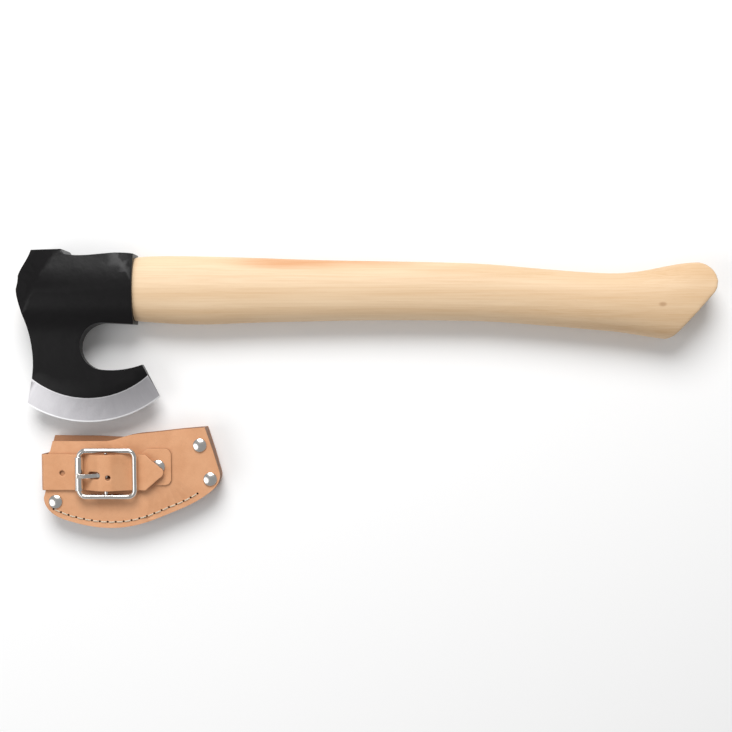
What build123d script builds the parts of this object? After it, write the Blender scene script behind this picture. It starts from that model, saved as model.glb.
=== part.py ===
"""Forestry hatchet with its buckled leather blade cover, millimetres, +Z up.

The hatchet lies on its side: +X runs from the head to the knob, +Y from the edge to the poll.
The blade cover lies beside the blade on its back panel, mouth towards the blade.
"""
from math import cos, radians, sin, tan
import os

from build123d import *

os.makedirs("parts", exist_ok=True)

# ---------------------------------------------------------------- hatchet
length = 488.0              # poll-side front of the head to the knob
head_x0 = -244.0            # foremost point of the head
knob_x1 = head_x0 + length

socket_w = 33.0             # across the eye, sets how high the head lies
mid_z = socket_w / 2        # middle plane of the hatchet
socket_len = 82.0           # along the handle
socket_depth = 49.0         # poll side to beard side at the handle end
socket_y = 70.0             # middle of the eye
socket_x1 = head_x0 + socket_len

edge_r = 80.0               # radius of the cutting edge
edge_c = (-195.0, 57.0)     # its centre
edge_heel = 39.0            # half the angle swept on the handle side, degrees
edge_toe = 32.5             # and on the front side
edge_t = 0.3                # thickness left at the edge
bevel_w = 17.0              # width of the ground bevel
bevel_t = 5.2               # thickness at the top of the bevel
beard_w = 33.0              # opening between beard and handle
beard_r = beard_w / 2
beard_y = 30.0
beard_x = -183.8            # centre of the round end of the opening
beard_tip = (-156.9, 17.2)
poll_y = 97.4
poll_len = 25.0
poll_w = 27.0

eye_depth = 44.0            # eye at the handle end
eye_w = 27.6
eye_depth_front = 37.0
eye_w_front = 19.0
eye_fit = 0.03              # gap between tenon and eye
wedge_len = 52.0
wedge_t = 5.0
wedge_tip_t = 0.8
wedge_depth = 28.0
cross_len = 22.0            # steel cross wedge
cross_t = 2.4
cross_tip_t = 0.5
cross_w = 15.0

grip_depth = 41.0           # handle depth at the grip
grip_w = 26.0
knob_w = 31.6
knob_slant = 49.0           # angle of the cut knob end, degrees

# ---------------------------------------------------------------- blade cover
panel_t = 2.5
mouth_gap = 7.0             # half the room between the panels at the mouth
seam_gap = 2.5              # half the welt thickness
mouth_y = -33.0
seam_y = -90.0
welt_w = 9.0
glue = 0.02                 # gap left between glued or pressed layers
strap_w = 25.6
strap_t = 2.0
strap_y = -58.0
strap_x0 = -225.2           # inside of the fold round the open side
strap_bend = 0.5            # inside bevel of the fold
strap_round = 2.2           # outside bevel
tab_w = 26.0
tab_t = 1.55
tab_x1 = -136.2
tab_y = -54.2
tab_neck_y = -45.6          # poll-side limit of the tab where it passes through the buckle
tab_r = 4.5
cap_d = 9.6                 # rivet caps
cap_h = 1.6
post_d = 2.6
washer_d = 8.0
washer_h = 0.5
stitch_pitch = 5.6
stitch_in = 4.2             # stitch line inside the bottom edge
hole_d = 1.5
thread_d = 1.0

# buckle
wire_d = 3.7
buckle_len = 43.5
buckle_w = 35.8
buckle_r = 6.5
buckle_x0 = -202.7
bar_d = 2.8                 # centre bar
run_fit = 0.05              # running gap of the bar and roller
roller_d = 5.7
roller_len = 24.9
tongue_t = 1.9
tongue_w = 2.9
strap_hole_d = 3.5

# slope of the panels, and how far a level cap or washer stands off them
slope = (mouth_gap - seam_gap) / (mouth_y - seam_y)
cap_off = slope * cap_d / 2 + glue
washer_off = slope * washer_d / 2 + glue


def gap(y):
    """Half the room between the panels at height y, square across the slope."""
    return seam_gap + slope * (min(max(y, seam_y), mouth_y + 8) - seam_y)


# the cover lies on the cap of the rivet that holds the strap to the back
cover_z = gap(strap_y) + panel_t + strap_t + 2 * glue + cap_off + cap_h


def deck(y):
    """Outer face of the front panel at y."""
    return cover_z + gap(y) + panel_t


def arc_pt(angle, radius):
    """Point on a circle about the edge centre, angle from straight down, degrees."""
    a = radians(angle)
    return (edge_c[0] + radius * sin(a), edge_c[1] - radius * cos(a))


# ================================================================ axe head
heel = arc_pt(edge_heel, edge_r)
toe = arc_pt(-edge_toe, edge_r)
socket_lo = socket_y - socket_depth / 2
socket_hi = socket_y + socket_depth / 2
poll_x0 = head_x0 + 10.0

with BuildPart() as axe_head:
    # side view
    with BuildSketch(Plane.XY):
        with BuildLine():
            Polyline((poll_x0, poll_y), (poll_x0 + poll_len - 2.2, poll_y), (poll_x0 + poll_len, poll_y - 3.6))
            Spline((poll_x0 + poll_len, poll_y - 3.6), (poll_x0 + poll_len + 14, poll_y - 4.3),
                   (socket_x1 - 11, socket_hi + 0.4), (socket_x1, socket_hi))
            Line((socket_x1, socket_hi), (socket_x1, socket_lo))
            Line((socket_x1, socket_lo), (beard_x, beard_y + beard_r))
            ThreePointArc((beard_x, beard_y + beard_r), (beard_x - beard_r, beard_y),
                          (beard_x, beard_y - beard_r))
            ThreePointArc((beard_x, beard_y - beard_r), (beard_x + 14, beard_y - beard_r + 0.5), beard_tip)
            Line(beard_tip, heel)
            ThreePointArc(heel, arc_pt(0, edge_r), toe)
            Line(toe, (head_x0 + 9.4, 5.0))
            Spline((head_x0 + 9.4, 5.0), (head_x0 + 9.6, 34.0), (head_x0 + 4.6, 55.0), (head_x0 + 0.6, 68.0),
                   (head_x0 + 1.8, 80.0), (head_x0 + 7.6, 91.0), (poll_x0, poll_y))
        make_face()
    extrude(amount=2 * mid_z)
    # thickness from poll to blade
    with BuildSketch(Plane.YZ.offset(head_x0 - 5)):
        for side in (1, -1):
            with BuildLine():
                y0 = edge_c[1] - edge_r - 3
                Line((y0, mid_z), (y0, mid_z + side * bevel_t / 2))
                Spline((y0, mid_z + side * bevel_t / 2), (8, mid_z + side * 3.2), (30, mid_z + side * 4.9),
                       (44, mid_z + side * 8.8), (56, mid_z + side * 14.4), (socket_y, mid_z + side * mid_z),
                       (84, mid_z + side * 15.6), (92, mid_z + side * 14.2), (poll_y + 1, mid_z + side * poll_w / 2))
                Line((poll_y + 1, mid_z + side * poll_w / 2), (poll_y + 1, mid_z))
                Line((poll_y + 1, mid_z), (y0, mid_z))
            make_face()
    extrude(amount=socket_len + 40, mode=Mode.INTERSECT)
    # ground bevel, a cone about the centre of the edge
    with BuildSketch(Plane.XZ.offset(-edge_c[1])):
        for side in (1, -1):
            with BuildLine():
                Polyline((edge_c[0], mid_z), (edge_c[0], mid_z + side * 30), (edge_c[0] + 24, mid_z + side * 24),
                         (edge_c[0] + edge_r - bevel_w, mid_z + side * bevel_t / 2),
                         (edge_c[0] + edge_r, mid_z + side * edge_t / 2), (edge_c[0] + edge_r + 2, mid_z + side * 0.05),
                         (edge_c[0] + edge_r + 2, mid_z), (edge_c[0], mid_z))
            make_face()
    revolve(axis=Axis((edge_c[0], edge_c[1], 0), (0, 0, 1)), mode=Mode.INTERSECT)
    # eye, tapering towards the front
    with BuildSketch(Plane.YZ.offset(socket_x1 + 1)):
        with Locations((socket_y, mid_z)):
            Ellipse(eye_depth / 2, eye_w / 2)
    with BuildSketch(Plane.YZ.offset(head_x0 - 1)):
        with Locations((socket_y, mid_z)):
            Ellipse(eye_depth_front / 2, eye_w_front / 2)
    loft(mode=Mode.SUBTRACT)
axe_head.part.label = "axe_head"
export_step(axe_head.part, "parts/axe_head.step")

# ================================================================ handle
# guide curves along the handle, each a few (distance from the head, size) stations
tenon_x = head_x0 + 2.4
poll_side = [(-12, 92.4), (0, 92.6), (17, 93.6), (60, 93.0), (130, 90.8), (210, 89.3), (245, 88.0), (285, 84.6),
             (320, 82.0), (345, 81.9), (366, 85.2), (384, 88.6), (412, 89.6)]
thickness = [(-12, eye_w + 0.4), (0, eye_w + 0.6), (25, grip_w + 2.4), (80, grip_w + 0.6), (150, grip_w - 0.4),
             (230, grip_w - 0.6), (290, grip_w + 0.8), (335, grip_w + 3.4), (365, knob_w - 1.0), (385, knob_w),
             (412, knob_w - 0.6)]
depth = [(-12, 44.4), (0, 44.8), (17, 47.2), (45, grip_depth + 7.0), (90, grip_depth + 4.2),
         (150, grip_depth + 1.2), (225, grip_depth - 0.2), (280, grip_depth - 1.2), (320, grip_depth - 0.8),
         (345, grip_depth + 1.6), (366, grip_depth + 8.4), (384, grip_depth + 13.4), (412, grip_depth + 15.6)]


def along(stations, x):
    """Smooth value at x through the stations, by a cubic between each pair."""
    k = max(i for i in range(len(stations) - 1) if stations[i][0] <= x or i == 0)

    def slope_at(n):
        a, b = stations[max(n - 1, 0)], stations[min(n + 1, len(stations) - 1)]
        return (b[1] - a[1]) / (b[0] - a[0])

    (x0, y0), (x1, y1) = stations[k], stations[k + 1]
    w, t = x1 - x0, (x - x0) / (x1 - x0)
    return (y0 * (1 + 2 * t) * (1 - t) ** 2 + y1 * t * t * (3 - 2 * t)
            + w * (slope_at(k) * t * (1 - t) ** 2 - slope_at(k + 1) * t * t * (1 - t)))


heel_pt = (knob_x1 - 1.9 - 30.0 / tan(radians(knob_slant)), 38.3)

with BuildPart() as handle:
    for n in range(24):
        x = 411.0 * n / 23                                     # place on the guide curves
        reach = (length - socket_len + 5) * n / 23             # place on this handle
        top, deep, wide = along(poll_side, x), along(depth, x), along(thickness, x)
        with BuildSketch(Plane.YZ.offset(socket_x1 + 1 + reach)):
            with Locations((top - deep / 2, mid_z)):
                Ellipse(deep / 2, wide / 2)
    loft()
    # tenon filling the eye
    for x, deep, wide in ((socket_x1 + 1, eye_depth, eye_w), (head_x0 - 1, eye_depth_front, eye_w_front)):
        with BuildSketch(Plane.YZ.offset(x)):
            with Locations((socket_y, mid_z)):
                Ellipse(deep / 2 - eye_fit, wide / 2 - eye_fit)
    loft()
    with BuildSketch(Plane.XY):
        with BuildLine():
            front = (tenon_x + 4.2, socket_y - 22), (tenon_x + 4.2, socket_y + 22)
            ThreePointArc(front[0], (tenon_x, socket_y + 1), front[1])
            Polyline(front[1], (tenon_x - 20, socket_y + 22), (tenon_x - 20, socket_y - 22), front[0])
        make_face()
    extrude(amount=2 * mid_z, mode=Mode.SUBTRACT)
    # slanted, rounded knob end
    with BuildSketch(Plane.XY):
        with BuildLine():
            Polyline((socket_x1 - socket_len - 10, 120), (knob_x1 - 18, 120))
            Line((knob_x1 - 18, 120), (knob_x1 - 12, 89.6))
            ThreePointArc((knob_x1 - 12, 89.6), (knob_x1 - 2.6, 83.7), (knob_x1 - 1.9, 68.3))
            Line((knob_x1 - 1.9, 68.3), heel_pt)
            ThreePointArc(heel_pt, (heel_pt[0] - 4.8, 35.4), (heel_pt[0] - 11.8, 34.6))
            Polyline((heel_pt[0] - 11.8, 34.6), (heel_pt[0] - 11.8, 10), (head_x0 - 10, 10), (head_x0 - 10, 120))
        make_face()
    extrude(amount=2 * mid_z + 10, both=True, mode=Mode.INTERSECT)
    # kerf for the wooden wedge
    with BuildSketch(Plane.XZ.offset(-socket_y)):
        with BuildLine():
            Polyline((tenon_x - 2, mid_z - wedge_t / 2 - 0.3), (tenon_x + wedge_len, mid_z - wedge_tip_t / 2),
                     (tenon_x + wedge_len, mid_z + wedge_tip_t / 2), (tenon_x - 2, mid_z + wedge_t / 2 + 0.3),
                     close=True)
        make_face()
    extrude(amount=wedge_depth / 2 + 0.1, both=True, mode=Mode.SUBTRACT)
    # slit left by the steel wedge
    with BuildSketch(Plane.XY.offset(mid_z)):
        with BuildLine():
            Polyline((tenon_x - 1, socket_y - cross_t / 2 - 0.1), (tenon_x + cross_len, socket_y - cross_tip_t / 2),
                     (tenon_x + cross_len, socket_y + cross_tip_t / 2), (tenon_x - 1, socket_y + cross_t / 2 + 0.1),
                     close=True)
        make_face()
    extrude(amount=cross_w / 2 + 0.1, both=True, mode=Mode.SUBTRACT)
handle.part.label = "handle"
export_step(handle.part, "parts/handle.step")

# ================================================================ wedges
with BuildPart() as eye_wedge:
    with BuildSketch(Plane.XZ.offset(-socket_y)):
        with BuildLine():
            Polyline((tenon_x + 2, mid_z - wedge_t / 2), (tenon_x + wedge_len - 6, mid_z - wedge_tip_t / 2),
                     (tenon_x + wedge_len - 6, mid_z + wedge_tip_t / 2), (tenon_x + 2, mid_z + wedge_t / 2),
                     close=True)
        make_face()
    extrude(amount=wedge_depth / 2, both=True)
    # slit left by the steel wedge
    with BuildSketch(Plane.XY.offset(mid_z)):
        with BuildLine():
            Polyline((tenon_x - 1, socket_y - cross_t / 2 - 0.1), (tenon_x + cross_len, socket_y - cross_tip_t / 2),
                     (tenon_x + cross_len, socket_y + cross_tip_t / 2), (tenon_x - 1, socket_y + cross_t / 2 + 0.1),
                     close=True)
        make_face()
    extrude(amount=cross_w / 2 + 0.1, both=True, mode=Mode.SUBTRACT)
eye_wedge.part.label = "eye_wedge"
export_step(eye_wedge.part, "parts/eye_wedge.step")

with BuildPart() as cross_wedge:
    with BuildSketch(Plane.XY.offset(mid_z)):
        with BuildLine():
            Polyline((tenon_x + 1, socket_y - cross_t / 2), (tenon_x + cross_len - 3, socket_y - cross_tip_t / 2),
                     (tenon_x + cross_len - 3, socket_y + cross_tip_t / 2), (tenon_x + 1, socket_y + cross_t / 2),
                     close=True)
        make_face()
    extrude(amount=cross_w / 2, both=True)
cross_wedge.part.label = "cross_wedge"
export_step(cross_wedge.part, "parts/cross_wedge.step")

# ================================================================ blade cover
# rivets along the closed sides and the seam
corner_rivets = [(-217.9, -78.9), (-109.2, -63.0), (-116.3, -39.1)]
tab_rivet = (-145.3, -54.1)
strap_rivet = (-150.0, strap_y)
top_right = (-112.8, -26.6)
left_x = strap_x0 + 0.6

with BuildPart() as cover_outline:
    with BuildSketch(Plane.XY):
        with BuildLine():
            Polyline((-181.7, -36.2), (left_x + 5.4, -36.2), (left_x + 3.6, -43.0), (left_x + 0.4, -47.5), (left_x, -51.0),
                     (left_x, -70.6), (left_x - 1.5, -76.1))
            Spline((left_x - 1.5, -76.1), (-224.8, -81.7), (-219.2, -88.0), (-207.4, -93.0), (-193.3, -96.3),
                   (-179.3, -97.5), (-165.3, -96.3), (-151.2, -92.5), (-137.1, -86.9), (-123.1, -80.8),
                   (-110.9, -73.3), (-104.3, -66.7), (-102.4, -61.1), (-102.9, -57.3))
            Polyline((-102.9, -57.3), (-107.1, -43.3), top_right)
            Spline(top_right, (-132.4, -28.3), (-151.2, -30.4), (-168.1, -32.8), (-177.5, -35.6), (-181.7, -36.2))
        make_face()
    extrude(amount=60)

# room for the blade: everything inside the welt
lip = 9.0 - welt_w
with BuildPart() as pocket:
    with BuildSketch(Plane.XY):
        with BuildLine():
            Polyline((left_x - 20, -20), (left_x - 20, -67.0), (-215.6, -70.2))
            Spline((-215.6, -70.2), (-208.0, -78.5), (-200.0, -83.6), (-190.0, -87.0 + lip),
                   (-179.3, -88.2 + lip), (-165.3, -87.0 + lip), (-153.4, -83.7 + lip),
                   (-140.6, -78.6 + lip), (-127.2, -72.6), (-118.6, -66.6), (-115.8, -61.0))
            Polyline((-115.8, -61.0), (-118.6, -50.0), (-123.5, -34.0), (-124.5, -15.0), (left_x - 20, -15.0),
                     (left_x - 20, -20))
        make_face()
    extrude(amount=60)


def seam_points():
    """Points spaced one stitch apart along the curved lower edge."""
    guide = Spline((-219.4, -84.2), (-207.0, -89.0), (-193.0, -92.1), (-179.3, -93.3), (-165.6, -92.2),
                   (-152.2, -88.5), (-138.8, -83.0), (-125.0, -77.0), (-114.0, -70.2))
    count = int(guide.length / stitch_pitch)
    return [guide @ (i * stitch_pitch / guide.length) for i in range(count + 1)], guide


stitches, seam_line = seam_points()


def side_profile(inner, outer):
    """Bent sheet seen along X: from inner to outer distance off the panel faces, front side."""
    low, high = seam_y - 12, mouth_y + 12
    pts = [(low, inner), (seam_y, inner), (mouth_y + 8, inner), (high, inner),
           (high, outer), (mouth_y + 8, outer), (seam_y, outer), (low, outer)]
    return [(y, gap(y) + off) for y, off in pts]


def panel_profile(side):
    """Closed outline of one panel in the YZ plane."""
    return [(y, cover_z + side * g) for y, g in side_profile(0, panel_t)]


def cover_panel(side):
    """One leather panel, side +1 is the front."""
    with BuildPart() as panel:
        with BuildSketch(Plane.YZ.offset(left_x - 10)):
            with BuildLine():
                Polyline(*panel_profile(side), close=True)
            make_face()
        extrude(amount=150)
        add(cover_outline.part if side > 0 else back_outline.part, mode=Mode.INTERSECT)
        with BuildSketch(Plane.XY):
            with Locations(*[(p.X, p.Y) for p in stitches]):
                Circle(hole_d / 2)
            with Locations(*corner_rivets):
                Circle(post_d / 2 + glue)
            with Locations(tab_rivet if side > 0 else strap_rivet):
                Circle(post_d / 2 + glue)
        extrude(amount=60, mode=Mode.SUBTRACT)
    return panel.part


# the back panel stands a little higher at the open corner
with BuildPart() as back_outline:
    add(cover_outline.part)
    with BuildSketch(Plane.XY):
        with BuildLine():
            Polyline((left_x + 0.9, -41.9), (left_x + 3.0, mouth_y), (-190, mouth_y - 0.3), (-172, -34.2),
                     (-160, -50), (left_x + 0.9, -50), close=True)
        make_face()
    extrude(amount=60)

front_panel = cover_panel(1)
front_panel.label = "front_panel"
export_step(front_panel, "parts/front_panel.step")
back_panel = cover_panel(-1)
back_panel.label = "back_panel"
export_step(back_panel, "parts/back_panel.step")

with BuildPart() as welt:
    with BuildSketch(Plane.YZ.offset(left_x - 10)):
        with BuildLine():
            front = [(y, cover_z + g - glue) for y, g in side_profile(0, panel_t)[:4]]
            back = [(y, cover_z - g + glue) for y, g in side_profile(0, panel_t)[:4]]
            Polyline(*front, *reversed(back), close=True)
        make_face()
    extrude(amount=150)
    add(cover_outline.part, mode=Mode.INTERSECT)
    add(pocket.part, mode=Mode.SUBTRACT)
    with BuildSketch(Plane.XY):
        with BuildLine():
            Polyline((left_x - 20, 0), (left_x - 20, -72.6), (-222.5, -72.6), (-160, -60), (-150, 0), close=True)
        make_face()
    extrude(amount=60, mode=Mode.SUBTRACT)
    with BuildSketch(Plane.XY):
        with Locations(*[(p.X, p.Y) for p in stitches]):
            Circle(hole_d / 2)
        with Locations(*corner_rivets):
            Circle(post_d / 2 + glue)
    extrude(amount=60, mode=Mode.SUBTRACT)
welt.part.label = "welt"
export_step(welt.part, "parts/welt.step")

# ================================================================ buckle levels, off the front panel
bar_x = buckle_x0 + buckle_len / 2
frame_s = 1.85 + 0.55 + strap_t + 0.25 + tab_t + glue   # height of the buckle wires
frame_s = max(frame_s, 2.0 + strap_t + wire_d / 2 + 0.4)
left_x_bar = buckle_x0 + wire_d / 2 + 1.15
right_x_bar = buckle_x0 + buckle_len - wire_d / 2
fold_r = bar_d / 2 + run_fit
hump = frame_s + fold_r + tab_t + 0.06                  # strap's lower face over the centre bar
tip_x = -140.8
tip_h = 3.6
under_left = frame_s - roller_d / 2 - 0.65 - strap_t
under_right = tab_t + 2 * glue


def eased(points, reach=1.6):
    """Replace each bend of a polyline by a short curve that starts reach before it."""
    out = [points[0]]
    for a, b, c in zip(points, points[1:], points[2:]):
        a, b, c = Vector(*a), Vector(*b), Vector(*c)
        p, q = b + (a - b).normalized() * reach, b + (c - b).normalized() * reach
        for t in (0, 0.33, 0.67, 1):
            v = p * (1 - t) ** 2 + b * 2 * t * (1 - t) + q * t * t
            out.append((v.X, v.Y))
    return out + [points[-1]]


def strap_loop(y):
    """Corners of the strap seen along Y at height y: front run, fold, back run."""
    top = deck(y)
    bottom = 2 * cover_z - top
    s_low = [(tip_x, cap_h + tab_t + 1.0), (tip_x - 10, cap_h + tab_t + 1.0), (right_x_bar + 2.5, under_right + 0.1),
             (right_x_bar - 3, under_right + 0.1), (bar_x + 3.2, hump), (bar_x - 3.2, hump),
             (left_x_bar + 3.5, under_left + 0.2), (left_x_bar - 3.5, under_left), (left_x_bar - 9, glue),
             (strap_x0 + strap_bend, glue)]
    lower = [(x, top + s) for x, s in s_low]
    upper = [(x, top + s + strap_t) for x, s in s_low]
    upper[4] = (upper[4][0] + 0.9, upper[4][1])
    upper[5] = (upper[5][0] - 0.9, upper[5][1])
    upper[-1] = (strap_x0 - strap_t + strap_round, upper[-1][1])
    left = [(strap_x0, top - strap_bend), (strap_x0, bottom + strap_bend)]
    left_out = [(strap_x0 - strap_t, top + strap_t - strap_round), (strap_x0 - strap_t, bottom - strap_t + strap_round)]
    back_end = strap_rivet[0] + 11
    lower_back = [(strap_x0 + strap_bend, bottom - glue), (back_end, bottom - glue)]
    upper_back = [(strap_x0 - strap_t + strap_round, bottom - glue - strap_t), (back_end, bottom - glue - strap_t)]
    lower, upper = eased(lower), eased(upper)
    return lower + left + lower_back + list(reversed(upper_back)) + list(reversed(left_out)) + list(reversed(upper))


tongue_hole_x = bar_x - 8.0
open_holes = [(-212.5, strap_y - 0.6), (-178.7, strap_y - 3.3)]
with BuildPart() as strap:
    for y in (strap_y + strap_w / 2, strap_y - strap_w / 2):
        with BuildSketch(Plane.XZ.offset(-y)):
            with BuildLine():
                Polyline(*strap_loop(y), close=True)
            make_face()
    loft(ruled=True)
    # tapered, rounded tip over the tab
    with BuildSketch(Plane.XY.offset(cover_z)):
        with BuildLine():
            Polyline((tip_x - 13, strap_y + strap_w), (tip_x - 13, strap_y + strap_w / 2))
            Line((tip_x - 13, strap_y + strap_w / 2), (tip_x - 2.4, strap_y + tip_h))
            ThreePointArc((tip_x - 2.4, strap_y + tip_h), (tip_x, strap_y), (tip_x - 2.4, strap_y - tip_h))
            Line((tip_x - 2.4, strap_y - tip_h), (tip_x - 13, strap_y - strap_w / 2))
            Polyline((tip_x - 13, strap_y - strap_w / 2), (tip_x - 13, strap_y - strap_w),
                     (tip_x + 10, strap_y - strap_w), (tip_x + 10, strap_y + strap_w),
                     (tip_x - 13, strap_y + strap_w))
        make_face()
    extrude(amount=40, mode=Mode.SUBTRACT)
    with BuildSketch(Plane.XY.offset(cover_z)):
        with Locations(*open_holes):
            Circle(strap_hole_d / 2)
        with Locations((tongue_hole_x, strap_y - 1.3 - slope * frame_s)):
            SlotOverall(9.4, tongue_w + 1.8)
    extrude(amount=40, mode=Mode.SUBTRACT)
    with BuildSketch(Plane.XY):
        with Locations(strap_rivet):
            Circle(post_d / 2 + glue)
    extrude(amount=cover_z, mode=Mode.SUBTRACT)
strap.part.label = "strap"
export_step(strap.part, "parts/strap.step")

tongue_y = strap_y - 1.3


def deck_plane(y):
    """Plane along X lying on the slope of the front panel, origin on the panel under the centre bar."""
    return Plane(origin=(bar_x, y, deck(y)), x_dir=(1, 0, 0), z_dir=(0, -slope, 1))


buckle_y = strap_y - 0.2
base = deck_plane(buckle_y)
profile = Plane(origin=base.origin, x_dir=base.x_dir, z_dir=-base.y_dir)     # local x, s in this plane
sheet = Plane(origin=base.origin + base.z_dir * frame_s, x_dir=base.x_dir, z_dir=base.z_dir)


half_l = buckle_len / 2 - wire_d / 2
half_w = buckle_w / 2 - wire_d / 2
with BuildPart() as buckle_tab:
    tab_off = (tab_y - buckle_y)
    with BuildSketch(profile.offset(-tab_off - tab_w / 2)):
        x_end = tab_x1 - bar_x
        ro = fold_r + tab_t
        c, d = cos(radians(60)), sin(radians(60))
        with BuildLine():
            Polyline((x_end, glue), (13.4, glue), (fold_r * c, frame_s + fold_r * d))
            ThreePointArc((fold_r * c, frame_s + fold_r * d), (-fold_r, frame_s), (0, frame_s - fold_r))
            Polyline((0, frame_s - fold_r), (7.4, frame_s - fold_r - 2.8), (7.0, frame_s - ro - 2.7),
                     (0, frame_s - ro))
            ThreePointArc((0, frame_s - ro), (-ro, frame_s), (ro * c, frame_s + ro * d))
            Polyline((ro * c, frame_s + ro * d), (14.3, tab_t + glue), (x_end, tab_t + glue),
                     (x_end, glue))
        make_face()
    extrude(amount=tab_w)
    # rounded corners and the slot for the tongue
    with BuildSketch(Plane(origin=base.origin, x_dir=base.x_dir, z_dir=base.z_dir)):
        with BuildLine():
            y0, y1 = tab_off - tab_w / 2, tab_off + tab_w / 2
            Polyline((x_end - tab_r, y1 + 3), (x_end - tab_r, y1))
            RadiusArc((x_end - tab_r, y1), (x_end, y1 - tab_r), tab_r)
            Line((x_end, y1 - tab_r), (x_end, y0 + tab_r))
            RadiusArc((x_end, y0 + tab_r), (x_end - tab_r, y0), tab_r)
            Polyline((x_end - tab_r, y0), (x_end - tab_r, y0 - 3), (x_end + 5, y0 - 3), (x_end + 5, y1 + 3),
                     (x_end - tab_r, y1 + 3))
        make_face()
        with Locations((-1.2, tongue_y - buckle_y)):
            Rectangle(9.6, tongue_w + 1.2)
        # neck inside the buckle
        with BuildLine():
            y2 = tab_neck_y - buckle_y
            Polyline((-9, y2), (half_l + 2.6, y2), (half_l + 8, y1 + 0.01), (half_l + 8, y1 + 3), (-9, y1 + 3), close=True)
        make_face()
    extrude(amount=20, both=True, mode=Mode.SUBTRACT)
    with BuildSketch(Plane.XY):
        with Locations(tab_rivet):
            Circle(post_d / 2 + glue)
    extrude(amount=60, mode=Mode.SUBTRACT)
buckle_tab.part.label = "buckle_tab"
export_step(buckle_tab.part, "parts/buckle_tab.step")

# frame: one wire bent to a rounded rectangle
with BuildPart() as buckle_frame:
    with BuildLine(sheet) as ring:
        x0, x1, r = left_x_bar - bar_x, half_l, buckle_r - wire_d / 2
        k = r * (1 - cos(radians(45)))
        Line((x0, 0), (x0, half_w - r))
        ThreePointArc((x0, half_w - r), (x0 + k, half_w - k), (x0 + r, half_w))
        Line((x0 + r, half_w), (x1 - r, half_w))
        ThreePointArc((x1 - r, half_w), (x1 - k, half_w - k), (x1, half_w - r))
        Line((x1, half_w - r), (x1, r - half_w))
        ThreePointArc((x1, r - half_w), (x1 - k, k - half_w), (x1 - r, -half_w))
        Line((x1 - r, -half_w), (x0 + r, -half_w))
        ThreePointArc((x0 + r, -half_w), (x0 + k, k - half_w), (x0, r - half_w))
        Line((x0, r - half_w), (x0, 0))
    with BuildSketch(Plane(origin=sheet.origin + sheet.x_dir * x0, x_dir=sheet.x_dir, z_dir=sheet.y_dir)):
        Circle(wire_d / 2)
    sweep()
buckle_frame.part.label = "buckle_frame"
export_step(buckle_frame.part, "parts/buckle_frame.step")

with BuildPart() as centre_bar:
    with BuildSketch(Plane(origin=sheet.origin, x_dir=sheet.x_dir, z_dir=sheet.y_dir)):
        Circle(bar_d / 2)
    extrude(amount=half_w + wire_d * 0.2, both=True)
    add(buckle_frame.part, mode=Mode.SUBTRACT)
centre_bar.part.label = "centre_bar"
export_step(centre_bar.part, "parts/centre_bar.step")

left_bar = sheet.origin + sheet.x_dir * (left_x_bar - bar_x)
with BuildPart() as roller:
    with BuildSketch(Plane(origin=left_bar, x_dir=sheet.x_dir, z_dir=sheet.y_dir)):
        Circle(roller_d / 2)
        Circle(wire_d / 2 + run_fit, mode=Mode.SUBTRACT)
    extrude(amount=roller_len / 2 - 0.6, both=True)
roller.part.label = "roller"
export_step(roller.part, "parts/roller.step")

# tongue: eye round the centre bar, arm up through the strap and over the roller
with BuildPart() as tongue:
    arm_s = frame_s + 0.8
    rest_s = frame_s + roller_d / 2 + 0.35
    with BuildSketch(profile.offset(-(tongue_y - buckle_y) - tongue_w / 2)):
        with Locations((0, frame_s)):
            Circle(bar_d / 2 + run_fit + 1.25)
        with BuildLine():
            Polyline((-1.0, arm_s - 0.9), (-6.6, arm_s - 0.9), (-14.6, rest_s), (-19.4, rest_s),
                     (-20.3, rest_s + 0.5), (-20.3, rest_s + 1.1), (-19.6, rest_s + tongue_t),
                     (-14.2, rest_s + tongue_t), (-6.2, arm_s + 1.0), (-1.0, arm_s + 1.0), close=True)
        make_face()
        with Locations((0, frame_s)):
            Circle(bar_d / 2 + run_fit, mode=Mode.SUBTRACT)
    extrude(amount=tongue_w)
tongue.part.label = "tongue"
export_step(tongue.part, "parts/tongue.step")


# ================================================================ rivets and thread
def rivet_set(points, face, seat, side, cap_name, post_name):
    """Domed caps standing on face(y) and washer-ended posts from seat(y); side +1 has the caps up."""
    rise = cap_h - 0.45
    ball = ((cap_d / 2) ** 2 + rise ** 2) / (2 * rise)
    with BuildPart() as caps:
        for x, y in points:
            with BuildSketch(Plane(origin=(x, y, face(y)), x_dir=(1, 0, 0), z_dir=(0, -side, 0))):
                with BuildLine():
                    Polyline((0, cap_h), (0, 0), (cap_d / 2, 0), (cap_d / 2, 0.45))
                    RadiusArc((cap_d / 2, 0.45), (0, cap_h), -ball)
                make_face()
            revolve(axis=Axis((x, y, 0), (0, 0, 1)))
    caps.part.label = cap_name
    export_step(caps.part, f"parts/{cap_name}.step")
    with BuildPart() as posts:
        for x, y in points:
            with BuildSketch(Plane(origin=(x, y, seat(y)), x_dir=(1, 0, 0), z_dir=(0, 0, side))):
                Circle(post_d / 2)
            extrude(amount=abs(face(y) - seat(y)) - glue)
            with BuildSketch(Plane(origin=(x, y, seat(y)), x_dir=(1, 0, 0), z_dir=(0, 0, -side))):
                Circle(washer_d / 2)
            extrude(amount=washer_h)
    posts.part.label = post_name
    export_step(posts.part, f"parts/{post_name}.step")


def under(y):
    """Outer face of the back panel at y."""
    return 2 * cover_z - deck(y)


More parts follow.
